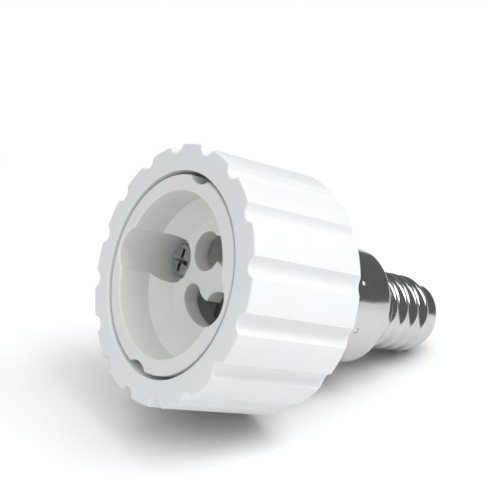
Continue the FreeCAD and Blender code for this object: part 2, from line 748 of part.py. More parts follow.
def make_screw_cap():
    """Drawn sheet cap: plain skirt over the neck, shoulder, rolled thread and end lip."""
    body = new_body("screw_cap")
    blank = turned_solid(body, "cap_blank", [
        ("neck_radius", "skirt_start_depth"),
        ("skirt_radius", "skirt_start_depth"),
        ("skirt_radius", "skirt_end_depth"),
        ("thread_root_radius", "skirt_end_depth"),
        ("thread_root_radius", "thread_end_depth"),
        ("cap_lip_radius", "thread_end_depth"),
        ("cap_lip_radius", "glass_shoulder_depth"),
        ("cap_bore_radius", "glass_shoulder_depth"),
        ("cap_bore_radius", "neck_end_depth"),
        ("neck_radius", "neck_end_depth"),
    ])
    for name, radius, place in (
            ("skirt_edge", "skirt_edge_round", ("skirt_radius", "skirt_end_depth")),
            ("skirt_inner_edge", "neck_end_round", ("neck_radius", "neck_end_depth")),
            ("end_edge", "cap_end_round", ("thread_root_radius", "thread_end_depth")),
            ("end_inner_edge", "inner_end_round", ("cap_bore_radius", "glass_shoulder_depth"))):
        blank = rounded(body, name, blank, radius, corner_test(place[0], place[1]))

    window_section = across(body, "window_section", "window_depth", "window_angle")
    outline(window_section, [
        ("window_inner_radius", "half_window_width"),
        ("window_outer_radius", "half_window_width"),
        ("window_outer_radius", "0 - half_window_width"),
        ("window_inner_radius", "0 - half_window_width"),
    ])
    window = pocket(body, "window", window_section, "window_length")
    around(body, "windows", [window], "window_count")

    ridge_section = along(body, "ridge_section", "thread_start_depth")
    wave(ridge_section, "thread_round", "thread_round", "ridge_inner_radius")
    helix(body, "ridge", "PartDesign::AdditiveHelix", ridge_section)
    groove_section = along(body, "groove_section", "thread_start_depth")
    wave(groove_section, "inner_crest_round", "inner_root_round", "groove_inner_radius")
    helix(body, "groove", "PartDesign::SubtractiveHelix", groove_section)
    return body


def make_tip_insulator():
    """Glass disc set in the end of the cap, with a tapered front."""
    body = new_body("tip_insulator")
    turned_solid(body, "glass", [
        ("eyelet_tube_radius", "glass_back_depth"),
        ("glass_seat_radius", "glass_back_depth"),
        ("glass_seat_radius", "glass_shoulder_depth"),
        ("cap_lip_radius", "glass_shoulder_depth"),
        ("cap_lip_radius", "thread_end_depth"),
        ("glass_front_radius", "glass_front_depth"),
        ("eyelet_tube_radius", "glass_front_depth"),
    ])
    return body


def make_centre_contact():
    """Eyelet through the glass, with a flat front flange."""
    body = new_body("centre_contact")
    turned_solid(body, "eyelet", [
        ("eyelet_bore_radius", "glass_back_depth"),
        ("eyelet_tube_radius", "glass_back_depth"),
        ("eyelet_tube_radius", "glass_front_depth"),
        ("eyelet_radius", "glass_front_depth"),
        ("eyelet_radius", "eyelet_front_depth"),
        ("eyelet_bore_radius", "eyelet_front_depth"),
    ])
    return body


def make_tip_solder():
    """Drop of solder on the eyelet, over the end of the live lead."""
    body = new_body("tip_solder")
    drop = turned_solid(body, "drop", [
        ("core_radius", "eyelet_front_depth"),
        ("tip_solder_radius", "eyelet_front_depth"),
        ("tip_solder_radius", "eyelet_front_depth + tip_solder_height"),
        ("0", "eyelet_front_depth + tip_solder_height"),
        ("0", "eyelet_front_depth + lead_end_cover"),
        ("core_radius", "eyelet_front_depth + lead_end_cover"),
    ])
    rounded(body, "drop_round", drop, "tip_solder_round",
            corner_test("tip_solder_radius", "eyelet_front_depth + tip_solder_height"))
    return body


def make_shell_solder():
    """Plug of solder in the spigot's side hole, round the end of the neutral lead."""
    body = new_body("shell_solder")
    plug_section = beside(body, "plug_section", "spigot_bore_radius", "neutral_angle")
    ring(plug_section, "side_hole_radius", "0", "side_hole_depth")
    pad(body, "plug", plug_section, "spigot_radius - spigot_bore_radius")
    core_section = beside(body, "core_section", "spigot_bore_radius", "neutral_angle")
    ring(core_section, "core_radius", "0", "side_hole_depth")
    pocket(body, "core_hole", core_section,
           "spigot_radius - spigot_bore_radius - lead_end_cover")
    return body


def lead_route(sketch, begin, far, bend_end, finish):
    """Route of a lead: down beside the tail, over to its far radius and on."""
    up = FreeCAD.Vector(0, 0, 1)
    start_x = size("lead_circle_radius")
    far_x = size(far)
    bend = size("lead_bend")
    first = FreeCAD.Vector(start_x - bend, size("bend_start"), 0)
    second = FreeCAD.Vector(far_x + bend, size(bend_end), 0)
    gap = second - first
    straight = math.sqrt(gap.Length ** 2 - 4 * bend ** 2)
    lean = math.atan2(gap.y, gap.x) - math.atan2(straight, 2 * bend)
    out = FreeCAD.Vector(bend * math.cos(lean), bend * math.sin(lean), 0)
    lines = [
        (FreeCAD.Vector(start_x, size(begin), 0), FreeCAD.Vector(start_x, first.y, 0)),
        (first + out, second - out),
        (FreeCAD.Vector(far_x, second.y, 0), FreeCAD.Vector(far_x, size(finish), 0)),
    ]
    down = sketch.addGeometry(Part.LineSegment(*lines[0]), False)
    bend_in = sketch.addGeometry(Part.ArcOfCircle(Part.Circle(first, up, bend), 0, lean), False)
    over = sketch.addGeometry(Part.LineSegment(*lines[1]), False)
    bend_out = sketch.addGeometry(
        Part.ArcOfCircle(Part.Circle(second, up, bend), math.pi, math.pi + lean), False)
    on = sketch.addGeometry(Part.LineSegment(*lines[2]), False)
    sketch.addConstraint(Sketcher.Constraint("Tangent", down, 2, bend_in, 1))
    sketch.addConstraint(Sketcher.Constraint("Tangent", bend_in, 2, over, 1))
    sketch.addConstraint(Sketcher.Constraint("Tangent", over, 2, bend_out, 2))
    sketch.addConstraint(Sketcher.Constraint("Tangent", bend_out, 1, on, 1))
    for arc in (bend_in, bend_out):
        tie(sketch, Sketcher.Constraint("Radius", arc, bend), "lead_bend")
    fix_point(sketch, down, 1, "lead_circle_radius", begin)
    fix_point(sketch, down, 2, "lead_circle_radius", "bend_start")
    fix_point(sketch, on, 1, far, bend_end)
    return on, lines[2][1]


def run_along(body, name, section, route):
    lead = body.newObject("PartDesign::AdditivePipe", name)
    lead.Profile = section
    lead.Spine = (route, ["Edge%d" % (n + 1) for n in range(route.GeometryCount)])
    doc.recompute()
    return lead


def lead_sections(body, begin, turn, radii):
    section = across(body, "section", begin, turn)
    for radius in radii:
        ring(section, radius, "lead_circle_radius")
    return section


def make_live_lead(name, begin, finish, radii):
    """Live lead: from the contact's tail over to the axis and out to the tip."""
    body = new_body(name)
    route = along(body, "route", "0", "lead_angle")
    on, end = lead_route(route, begin, "0", "live_bend_end", finish)
    fix_point(route, on, 2, "0", finish)
    run_along(body, "lead", lead_sections(body, begin, "lead_angle", radii), route)
    return body


def make_neutral_core():
    """Neutral lead's conductor, turned outwards at the end into the side hole."""
    body = new_body("neutral_lead_core")
    route = along(body, "route", "0", "neutral_angle")
    on, end = lead_route(route, "core_start_depth", "neutral_offset", "neutral_bend_end",
                         "side_hole_depth - lead_turn")
    turn = size("lead_turn")
    centre = FreeCAD.Vector(end.x + turn, end.y, 0)
    circle = Part.Circle(centre, FreeCAD.Vector(0, 0, 1), turn)
    corner = route.addGeometry(Part.ArcOfCircle(circle, math.pi / 2, math.pi), False)
    start = FreeCAD.Vector(centre.x, centre.y + turn, 0)
    stop = FreeCAD.Vector(size("spigot_radius - lead_end_cover"), start.y, 0)
    side = route.addGeometry(Part.LineSegment(start, stop), False)
    route.addConstraint(Sketcher.Constraint("Tangent", on, 2, corner, 2))
    route.addConstraint(Sketcher.Constraint("Tangent", corner, 1, side, 1))
    tie(route, Sketcher.Constraint("Radius", corner, turn), "lead_turn")
    fix_point(route, side, 2, "spigot_radius - lead_end_cover", "side_hole_depth")
    route.addConstraint(Sketcher.Constraint("Horizontal", side))
    section = lead_sections(body, "core_start_depth", "neutral_angle", ["core_radius"])
    run_along(body, "lead", section, route)
    return body


def make_neutral_sleeve():
    """Neutral lead's insulation, stripped short of the turn."""
    body = new_body("neutral_lead_sleeve")
    route = along(body, "route", "0", "neutral_angle")
    begin = "wall_front_depth + sleeve_start"
    on, end = lead_route(route, begin, "neutral_offset", "neutral_bend_end",
                         "neutral_sleeve_end")
    fix_point(route, on, 2, "neutral_offset", "neutral_sleeve_end")
    section = lead_sections(body, begin, "neutral_angle", ["sleeve_radius", "core_radius"])
    run_along(body, "lead", section, route)
    return body


def resting_place():
    """Placement of the axis when the back edge and the last thread crest meet the floor."""
    back = size("body_back_radius")
    centre = size("flute_centre_back")
    # angle from a flute's middle to the corner where it meets the land
    chord = back ** 2 + centre ** 2 - size("flute_radius") ** 2
    corner = math.acos(chord / (2 * back * centre))
    back_reach = back * math.cos(corner) - size("back_edge_round")
    back_depth = size("body_length - back_edge_round")
    crest_reach = size("thread_crest_radius - thread_round")
    # the ridge starts on the upper side, so it passes below half a turn later
    turns_to_floor = math.floor(size("thread_turns") - 0.5) + 0.5
    crest_depth = size("thread_start_depth") + turns_to_floor * size("thread_pitch")
    run = crest_depth - back_depth
    drop = back_reach - crest_reach
    difference = size("back_edge_round - thread_round")
    tilt = math.atan2(drop, run) + math.asin(difference / math.hypot(run, drop))
    lean = FreeCAD.Rotation(FreeCAD.Vector(0, 1, 0), 90 + math.degrees(tilt))
    turned = lean.multiply(FreeCAD.Rotation(FreeCAD.Vector(0, 0, 1), 180))
    return FreeCAD.Placement(FreeCAD.Vector(0, 0, 0), turned), math.degrees(tilt)


fill_sheet()
nodes = [
    make_outer_shell(),
    make_holder_insert(),
    make_contact_plate(),
    make_contact("live_contact"),
    make_contact("neutral_contact"),
    make_pair("contact_rivets", make_rivet, "strip_middle", "0 - rivet_offset"),
    make_pair("contact_solders", make_tail_solder, "core_middle", "0 - core_offset"),
    make_pair("fixing_screws", make_screw, "0", "screw_circle_radius"),
    make_screw_cap(),
    make_tip_insulator(),
    make_centre_contact(),
    make_tip_solder(),
    make_shell_solder(),
    make_live_lead("live_lead_core", "core_start_depth",
                   "eyelet_front_depth + lead_end_cover", ["core_radius"]),
    make_live_lead("live_lead_sleeve", "wall_front_depth + sleeve_start",
                   "glass_back_depth - sleeve_end_gap", ["sleeve_radius", "core_radius"]),
    make_neutral_core(),
    make_neutral_sleeve(),
]

# the neutral side is the live side turned half a turn about the axis
half_turn = FreeCAD.Placement(FreeCAD.Vector(0, 0, 0),
                              FreeCAD.Rotation(FreeCAD.Vector(0, 0, 1), 180))
resting, tilt = resting_place()
for node in nodes:
    turned = half_turn if node.Label == "neutral_contact" else FreeCAD.Placement()
    node.Placement = resting.multiply(turned)
doc.recompute()

# lift onto the floor and centre the outline over the origin
box = FreeCAD.BoundBox()
for node in nodes:
    box.add(node.Shape.optimalBoundingBox(False))
shift = FreeCAD.Vector(-box.Center.x, -box.Center.y, -box.ZMin)
for node in nodes:
    node.Placement = FreeCAD.Placement(shift, FreeCAD.Rotation()).multiply(node.Placement)
doc.recompute()
print("tilt", round(tilt, 3), "shift", [round(value, 4) for value in shift])
print("box", round(box.XLength, 3), round(box.YLength, 3), round(box.ZLength, 3))

for item in doc.Objects:
    if "Invalid" in item.State or "Error" in item.State:
        raise RuntimeError("%s did not build: %s" % (item.Label, item.State))
os.makedirs("parts", exist_ok=True)
for node in nodes:
    shape = node.Shape
    if shape.isNull() or not shape.isValid():
        raise RuntimeError("%s has no valid shape" % node.Label)
    print(node.Label, len(shape.Solids), round(shape.Volume, 3))
    shape.exportStep("parts/%s.step" % node.Label)
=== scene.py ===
import json
import math
from functools import partial

import bmesh
import bpy
from mathutils import Matrix, Vector


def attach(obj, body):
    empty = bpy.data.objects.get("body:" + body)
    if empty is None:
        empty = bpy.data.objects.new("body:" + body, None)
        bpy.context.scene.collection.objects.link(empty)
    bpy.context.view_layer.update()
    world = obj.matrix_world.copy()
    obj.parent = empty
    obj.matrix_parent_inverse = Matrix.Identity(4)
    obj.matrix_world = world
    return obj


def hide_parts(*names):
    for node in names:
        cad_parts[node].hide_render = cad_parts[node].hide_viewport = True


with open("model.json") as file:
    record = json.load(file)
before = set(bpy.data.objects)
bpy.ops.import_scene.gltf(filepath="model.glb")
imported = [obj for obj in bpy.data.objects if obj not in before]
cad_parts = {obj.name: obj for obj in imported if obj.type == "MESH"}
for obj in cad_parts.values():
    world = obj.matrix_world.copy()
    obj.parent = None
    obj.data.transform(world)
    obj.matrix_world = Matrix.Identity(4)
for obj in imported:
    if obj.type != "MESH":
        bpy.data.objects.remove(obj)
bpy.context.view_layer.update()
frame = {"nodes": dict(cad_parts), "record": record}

# The fluted body is one white moulding: the ribbed barrel, its back wall, the
# neck that the cap is pressed on, and the spigot inside the thread. All the
# adapter's pieces lie on one sloping axis, found here from the thread mount.
MM = 0.001
THREAD_MOUNT_DEPTH = 47.7 * MM
thread_mount = next(m for m in frame["record"]["mounts"] if m["name"] == "cap_thread")
axis = Vector(thread_mount["axis"]).normalized()
rim_centre = Vector(thread_mount["pos_m"]) - axis * THREAD_MOUNT_DEPTH
sideways = Vector((0, -1, 0))
upwards = sideways.cross(axis)
to_row = Matrix.Translation(rim_centre) @ Matrix((upwards, sideways, axis)).transposed().to_4x4()

FRONT_RADIUS = 19.1 * MM
BACK_RADIUS = 19.45 * MM
BACK_ROUND_START = 19.42 * MM
BODY_LENGTH = 21.0 * MM
BORE_RADIUS = 15.2 * MM
WALL_FRONT = 18.6 * MM
BACK_ROUND = 1.6 * MM
FRONT_ROUND = 0.35 * MM
MOUTH_ROUND = 0.12 * MM
MOUTH_EDGE = 0.7 * MM
NECK_RADIUS = 9.68 * MM
NECK_END = 38.6 * MM
NECK_ROUND = 0.58 * MM
NECK_BORE = 7.38 * MM
NECK_BORE_END = 36.6 * MM
SPIGOT_RADIUS = 5.68 * MM
SPIGOT_BORE = 3.4 * MM
SPIGOT_END = 53.0 * MM
FLUTE_COUNT = 16
FLUTE_RADIUS = 1.45 * MM
FLUTE_DEPTH = 1.15 * MM
FLUTE_LIP = 0.3 * MM
BARREL_SEGMENTS = 640

# places of the rings that divide long plain walls
BORE_RING = 9 * MM
BACK_WALL_RING = 14 * MM
NECK_RING = 30 * MM

# a profile's point closer to the axis than this is the pole of its turned mesh
POLE_RADIUS = 1e-7

# a flute's wall is put this much further out where the flute doesn't reach
OUT_OF_REACH = 10 * MM

# edges that turn by more degrees than this stay sharp in a smooth mesh
SHARP_EDGE = 32

# nearly all of a noise texture lies between these two
NOISE_LOW = 0.3
NOISE_HIGH = 0.7


def arc(centre, radius, start, end, steps):
    """Points of an arc in the plane of radius and depth, its ends included."""
    points = []
    for step in range(steps + 1):
        angle = math.radians(start + (end - start) * step / steps)
        points.append((centre[0] + radius * math.cos(angle), centre[1] + radius * math.sin(angle)))
    return points


def run(start, end, steps):
    """Evenly spaced points from start to end, the end left out."""
    return [tuple(a + (b - a) * step / steps for a, b in zip(start, end)) for step in range(steps)]


def in_scene(name, data):
    """Object of a mesh, lamp or camera, put in the scene."""
    thing = bpy.data.objects.new(name, data)
    bpy.context.scene.collection.objects.link(thing)
    return thing


def new_piece(name, shape):
    """Object in the scene made from a worked shape, which is then let go."""
    mesh = bpy.data.meshes.new(name)
    shape.to_mesh(mesh)
    shape.free()
    return in_scene(name, mesh)


def lathe(name, profile, segments, closed=True, marks=None):
    """Mesh turned about the axis from a profile of radius and depth.

    Marks are named lists with one value for each point of the profile, which
    the points of that ring then carry.
    """
    shape = bmesh.new()
    layers = {key: shape.verts.layers.float.new(key) for key in (marks or {})}
    rings = []
    for number, (radius, depth) in enumerate(profile):
        ring = []
        for segment in range(segments if radius > POLE_RADIUS else 1):
            angle = 2 * math.pi * segment / segments
            vert = shape.verts.new((radius * math.cos(angle), radius * math.sin(angle), depth))
            for key, layer in layers.items():
                vert[layer] = marks[key][number]
            ring.append(vert)
        rings.append(ring)
    pairs = list(zip(rings, rings[1:] + rings[:1]))
    for low, high in pairs if closed else pairs[:-1]:
        for segment in range(segments):
            after = (segment + 1) % segments
            if len(low) == 1 and len(high) == 1:
                continue
            if len(low) == 1:
                shape.faces.new((low[0], high[after], high[segment]))
            elif len(high) == 1:
                shape.faces.new((low[segment], low[after], high[0]))
            else:
                shape.faces.new((low[segment], low[after], high[after], high[segment]))
    bmesh.ops.recalc_face_normals(shape, faces=shape.faces)
    return new_piece(name, shape)


def node_tree(name, sizes):
    """Empty geometry tree with a geometry way through and named sizes."""
    tree = bpy.data.node_groups.new(name, "GeometryNodeTree")
    tree.interface.new_socket("Geometry", in_out="INPUT", socket_type="NodeSocketGeometry")
    for label, kind in sizes:
        tree.interface.new_socket(label, in_out="INPUT", socket_type=kind)
    tree.interface.new_socket("Material", in_out="INPUT", socket_type="NodeSocketMaterial")
    tree.interface.new_socket("Geometry", in_out="OUTPUT", socket_type="NodeSocketGeometry")
    return tree, tree.nodes.new("NodeGroupInput"), tree.nodes.new("NodeGroupOutput")


def figure(tree, operation, *values):
    """One math node, its inputs taken from sockets or plain numbers."""
    node = tree.nodes.new("ShaderNodeMath")
    node.operation = operation
    for socket, value in zip(node.inputs, values):
        if isinstance(value, bpy.types.NodeSocket):
            tree.links.new(value, socket)
        else:
            socket.default_value = value
    return node.outputs[0]


def point_places(tree):
    """The three coordinates of each point of a mesh."""
    position = tree.nodes.new("GeometryNodeInputPosition")
    parts = tree.nodes.new("ShaderNodeSeparateXYZ")
    tree.links.new(position.outputs[0], parts.inputs[0])
    return parts.outputs


def mark_of(tree, name):
    """The mark that each point of a turned mesh carries under a name."""
    node = tree.nodes.new("GeometryNodeInputNamedAttribute")
    node.data_type = "FLOAT"
    node.inputs["Name"].default_value = name
    return node.outputs["Attribute"]


def from_axis(tree, x, y):
    """Distance of a point from the axis."""
    return figure(tree, "SQRT", figure(tree, "ADD", figure(tree, "MULTIPLY", x, x),
                                       figure(tree, "MULTIPLY", y, y)))


def resized_rings(tree, given, places, factor):
    """The geometry given, the distance of its points from the axis times a factor."""
    x, y, z = places
    moved = tree.nodes.new("ShaderNodeCombineXYZ")
    for socket, value in zip(moved.inputs, (figure(tree, "MULTIPLY", x, factor),
                                            figure(tree, "MULTIPLY", y, factor), z)):
        tree.links.new(value, socket)
    shape_node = tree.nodes.new("GeometryNodeSetPosition")
    tree.links.new(given.outputs["Geometry"], shape_node.inputs["Geometry"])
    tree.links.new(moved.outputs[0], shape_node.inputs["Position"])
    return shape_node.outputs["Geometry"]


def close_tree(tree, given, result, geometry):
    """End of a tree: instances made real, and the material set."""
    real = tree.nodes.new("GeometryNodeRealizeInstances")
    finish = tree.nodes.new("GeometryNodeSetMaterial")
    tree.links.new(geometry, real.inputs["Geometry"])
    tree.links.new(real.outputs["Geometry"], finish.inputs["Geometry"])
    tree.links.new(given.outputs["Material"], finish.inputs["Material"])
    tree.links.new(finish.outputs["Geometry"], result.inputs["Geometry"])


def keep_result(piece):
    """The evaluated shape becomes the piece's own mesh, with no modifier left."""
    bpy.context.view_layer.update()
    graph = bpy.context.evaluated_depsgraph_get()
    mesh = bpy.data.meshes.new_from_object(piece.evaluated_get(graph))
    piece.modifiers.clear()
    old = piece.data
    piece.data = mesh
    bpy.data.meshes.remove(old)


def run_tree(piece, tree, sizes):
    """Run a geometry tree on a piece and keep its result as a plain mesh."""
    modifier = piece.modifiers.new("shape", "NODES")
    modifier.node_group = tree
    for item in tree.interface.items_tree:
        if item.in_out == "INPUT" and item.name in sizes:
            modifier[item.identifier] = sizes[item.name]
    keep_result(piece)


def new_material(name, colour, roughness, metallic=0.0):
    """Material of one plain colour, with its node tree and its shader."""
    material = bpy.data.materials.new(name)
    material.use_nodes = True
    shader = material.node_tree.nodes["Principled BSDF"]
    shader.inputs["Base Color"].default_value = (*colour, 1)
    shader.inputs["Roughness"].default_value = roughness
    shader.inputs["Metallic"].default_value = metallic
    return material, material.node_tree, shader


def noise(tree, scale, detail=4.0, stretch=(1, 1, 1), turn=(0, 0, 0)):
    """Noise over the piece in its own frame, turned to the axis where it needs it."""
    place_node = tree.nodes.new("ShaderNodeTexCoord")
    mapping = tree.nodes.new("ShaderNodeMapping")
    mapping.inputs["Scale"].default_value = stretch
    mapping.inputs["Rotation"].default_value = turn
    texture = tree.nodes.new("ShaderNodeTexNoise")
    texture.inputs["Scale"].default_value = scale
    texture.inputs["Detail"].default_value = detail
    tree.links.new(place_node.outputs["Object"], mapping.inputs["Vector"])
    tree.links.new(mapping.outputs["Vector"], texture.inputs["Vector"])
    return texture.outputs["Fac"]


def spread(tree, cloud, low, high):
    """A noise mapped to a range of plain values."""
    ramp = tree.nodes.new("ShaderNodeMapRange")
    ramp.inputs["From Min"].default_value = NOISE_LOW
    ramp.inputs["From Max"].default_value = NOISE_HIGH
    ramp.inputs["To Min"].default_value = low
    ramp.inputs["To Max"].default_value = high
    tree.links.new(cloud, ramp.inputs["Value"])
    return ramp.outputs["Result"]


def colour_between(tree, share, first, second):
    """Colour between two, each given by a socket or as plain red, green and blue."""
    mix = tree.nodes.new("ShaderNodeMix")
    mix.data_type = "RGBA"
    for socket, colour in ((mix.inputs["A"], first), (mix.inputs["B"], second)):
        if isinstance(colour, bpy.types.NodeSocket):
            tree.links.new(colour, socket)
        else:
            socket.default_value = (*colour, 1)
    tree.links.new(share, mix.inputs["Factor"])
    return mix.outputs["Result"]


def tint(tree, cloud, low, high):
    """A noise mapped to a colour between two."""
    return colour_between(tree, spread(tree, cloud, 0.0, 1.0), low, high)


def bump(tree, shader, height, distance, strength):
    """Fine relief on a shader, from a height and the distance that it stands for."""
    node = tree.nodes.new("ShaderNodeBump")
    node.inputs["Distance"].default_value = distance
    node.inputs["Strength"].default_value = strength
    tree.links.new(height, node.inputs["Height"])
    tree.links.new(node.outputs["Normal"], shader.inputs["Normal"])


def moulded_plastic(name, pale, deep, gloss, grain):
    """Moulded plastic: cloudy tone, uneven gloss and the mould's fine grain."""
    material, tree, shader = new_material(name, pale, gloss)
    tree.links.new(tint(tree, noise(tree, scale=120), deep, pale), shader.inputs["Base Color"])
    tree.links.new(spread(tree, noise(tree, scale=400), low=gloss - 0.05, high=gloss + 0.07),
                   shader.inputs["Roughness"])
    bump(tree, shader, noise(tree, scale=5200, detail=3), distance=grain, strength=0.35)
    return material


shell_white = moulded_plastic("shell_white", pale=(0.81, 0.827, 0.838), deep=(0.79, 0.808, 0.82),
                              gloss=0.36, grain=0.012 * MM)

side_start = (FRONT_RADIUS, FRONT_ROUND)
side_end = (BACK_ROUND_START, BODY_LENGTH - BACK_ROUND)
front_corner = arc((FRONT_RADIUS - FRONT_ROUND, FRONT_ROUND), FRONT_ROUND, -90, 0, steps=6)
back_corner = arc((BACK_ROUND_START - BACK_ROUND, BODY_LENGTH - BACK_ROUND), BACK_ROUND, 0, 90,
                  steps=14)
neck_corner = arc((NECK_RADIUS - NECK_ROUND, NECK_END - NECK_ROUND), NECK_ROUND, 0, 90, steps=4)
barrel = arc((BORE_RADIUS + MOUTH_ROUND, MOUTH_ROUND), MOUTH_ROUND, 180, 270, steps=3)
barrel += [(BORE_RADIUS + MOUTH_EDGE, 0), (BORE_RADIUS + 2 * MOUTH_EDGE, 0)]
front_first = len(barrel)
barrel += front_corner + run(side_start, side_end, steps=16)[1:] + back_corner
barrel += [(BACK_WALL_RING, BODY_LENGTH), (NECK_RADIUS, BODY_LENGTH), (NECK_RADIUS, NECK_RING)]
barrel += neck_corner + [(SPIGOT_RADIUS, NECK_END), (SPIGOT_RADIUS, SPIGOT_END)]
barrel += [(SPIGOT_BORE, SPIGOT_END), (SPIGOT_BORE, NECK_BORE_END), (NECK_BORE, NECK_BORE_END)]
barrel += [(NECK_BORE, WALL_FRONT), (BORE_RADIUS, WALL_FRONT), (BORE_RADIUS, BORE_RING)]

# how far the front rounding lies inside the barrel: the flutes' front edges
# follow it, so that they are rounded too
drops = [0.0] * len(barrel)
for number, (radius, depth) in enumerate(front_corner):
    drops[front_first + number] = FRONT_RADIUS - radius

# a flute is a round groove: where its circle lies nearer to the axis than the
# barrel's wall, the wall moves in to it, with a soft lip between the two
flute_tree, given, result = node_tree("flutes", [
    ("Count", "NodeSocketFloat"), ("Flute radius", "NodeSocketFloat"),
    ("Front centre", "NodeSocketFloat"), ("Back centre", "NodeSocketFloat"),
    ("Length", "NodeSocketFloat"), ("Lip", "NodeSocketFloat")])
sizes = given.outputs
op = partial(figure, flute_tree)
x, y, z = point_places(flute_tree)
drop = mark_of(flute_tree, "edge_drop")
radius = from_axis(flute_tree, x, y)
angle = op("ARCTAN2", y, x)
step = op("DIVIDE", 2 * math.pi, sizes["Count"])
nearest = op("ROUND", op("DIVIDE", angle, step))
away = op("SUBTRACT", angle, op("MULTIPLY", nearest, step))
along = op("DIVIDE", z, sizes["Length"])
widening = op("SUBTRACT", sizes["Back centre"], sizes["Front centre"])
centre = op("MULTIPLY_ADD", widening, along, sizes["Front centre"])
offset = op("MULTIPLY", centre, op("SINE", away))
room = op("SUBTRACT", op("POWER", sizes["Flute radius"], 2.0), op("MULTIPLY", offset, offset))
near_wall = op("SUBTRACT", op("MULTIPLY", centre, op("COSINE", away)),
               op("SQRT", op("MAXIMUM", room, 0.0)))
missed = op("LESS_THAN", room, 0.0)
flute_wall = op("MULTIPLY_ADD", missed, OUT_OF_REACH, near_wall)
cut = op("SMOOTH_MIN", op("ADD", radius, drop), flute_wall, sizes["Lip"])
shrink = op("DIVIDE", op("SUBTRACT", cut, drop), radius)
close_tree(flute_tree, given, result, resized_rings(flute_tree, given, (x, y, z), shrink))

shell = lathe("shell_barrel", barrel, BARREL_SEGMENTS, marks={"edge_drop": drops})
run_tree(shell, flute_tree, {
    "Count": float(FLUTE_COUNT), "Flute radius": FLUTE_RADIUS,
    "Front centre": FRONT_RADIUS - FLUTE_DEPTH + FLUTE_RADIUS,
    "Back centre": BACK_RADIUS - FLUTE_DEPTH + FLUTE_RADIUS,
    "Length": BODY_LENGTH, "Lip": FLUTE_LIP, "Material": shell_white})

# Eight small lugs of the same moulding stand in the windows of the cap's skirt
# and hold it from turning, and two hollow bosses inside take the screws.
# One of each is modelled in its place and repeated about the axis.
LUG_COUNT = 8
LUG_ANGLE = math.radians(8.5)
LUG_INNER = 8.53 * MM
LUG_OUTER = 9.95 * MM
LUG_WIDTH = 0.7 * MM
LUG_START = 31.6 * MM
LUG_END = 32.2 * MM
LUG_EDGE = 0.08 * MM
BOSS_COUNT = 2
BOSS_CIRCLE = 10.1 * MM
BOSS_RADIUS = 2.9 * MM
BOSS_START = 14.5 * MM
PILOT_RADIUS = 1.45 * MM
PILOT_END = 18.62 * MM


def block(name, low, high, edge=0.0):
    """Six-sided block between two corners, its edges rounded."""
    shape = bmesh.new()
    bmesh.ops.create_cube(shape, size=1.0)
    for vert in shape.verts:
        vert.co = Vector([b if c > 0 else a for a, b, c in zip(low, high, vert.co)])
    if edge:
        bmesh.ops.bevel(shape, geom=shape.edges[:], offset=edge, segments=3, profile=0.5,
                        affect="EDGES")
    return new_piece(name, shape)


def join(name, pieces):
    """One object from several finished meshes that have one material."""
    shape = bmesh.new()
    for piece in pieces:
        shape.from_mesh(piece.data)
    whole = new_piece(name, shape)
    whole.data.materials.append(pieces[0].data.materials[0])
    for piece in pieces:
        bpy.data.objects.remove(piece)
    return whole


def place(piece):
    """Set a finished mesh on the adapter's axis in the row frame, and smooth it."""
    piece.data.transform(to_row)
    piece.data.shade_smooth()
    piece.data.set_sharp_from_angle(angle=math.radians(SHARP_EDGE))
    piece.data.update()


around_tree, given, result = node_tree("around_the_axis", [
    ("Count", "NodeSocketInt"), ("Start angle", "NodeSocketFloat")])
op = partial(figure, around_tree)
points = around_tree.nodes.new("GeometryNodePoints")
copies = around_tree.nodes.new("GeometryNodeInstanceOnPoints")
index = around_tree.nodes.new("GeometryNodeInputIndex")
turn = around_tree.nodes.new("ShaderNodeCombineXYZ")
share = op("DIVIDE", index.outputs[0], given.outputs["Count"])
turned = op("MULTIPLY_ADD", share, 2 * math.pi, given.outputs["Start angle"])
around_tree.links.new(turned, turn.inputs["Z"])
around_tree.links.new(given.outputs["Count"], points.inputs["Count"])
around_tree.links.new(points.outputs[0], copies.inputs["Points"])
around_tree.links.new(given.outputs["Geometry"], copies.inputs["Instance"])
around_tree.links.new(turn.outputs[0], copies.inputs["Rotation"])
close_tree(around_tree, given, result, copies.outputs["Instances"])

lugs = block("lugs", (LUG_INNER, -LUG_WIDTH / 2, LUG_START), (LUG_OUTER, LUG_WIDTH / 2, LUG_END),
             LUG_EDGE)
run_tree(lugs, around_tree, {"Count": LUG_COUNT, "Start angle": LUG_ANGLE,
                             "Material": shell_white})
bosses = lathe("bosses", [(PILOT_RADIUS, BOSS_START), (BOSS_RADIUS, BOSS_START),
                          (BOSS_RADIUS, PILOT_END), (PILOT_RADIUS, PILOT_END)], segments=48)
bosses.data.transform(Matrix.Translation((0, BOSS_CIRCLE, 0)))
run_tree(bosses, around_tree, {"Count": BOSS_COUNT, "Start angle": 0.0, "Material": shell_white})
shell = join("shell", [shell, lugs, bosses])
place(shell)
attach(shell, "root")
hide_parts("outer_shell")

# The cup insert is a matt off-white moulding with a thick floor. Two keyholes
# take the lamp's pins, and two round channels in its wall lead to the screws.
# It keeps the solid's own shape, and gets the true normals of its surfaces.
INSERT_RADIUS = 14.65 * MM
CUP_RADIUS = 12.25 * MM
CUP_WALL_END = 5.65 * MM
CUP_FLOOR = 8.45 * MM
CUP_FLOOR_RADIUS = 9.5 * MM
PIN_TURN = math.radians(42.6)
PIN_CIRCLE = 5.0 * MM
ENTRY_RADIUS = 3.05 * MM
SLOT_HALF = 1.95 * MM
CHAMBER_CIRCLE = 5.25 * MM
CHAMBER_HALF = 3.35 * MM
CHANNEL_RADIUS = 3.75 * MM
SCREW_HOLE_RADIUS = 1.6 * MM
BOSS_POCKET_RADIUS = 3.1 * MM
NOTCH_CIRCLE = 17.03 * MM
NOTCH_RADIUS = 3.3 * MM

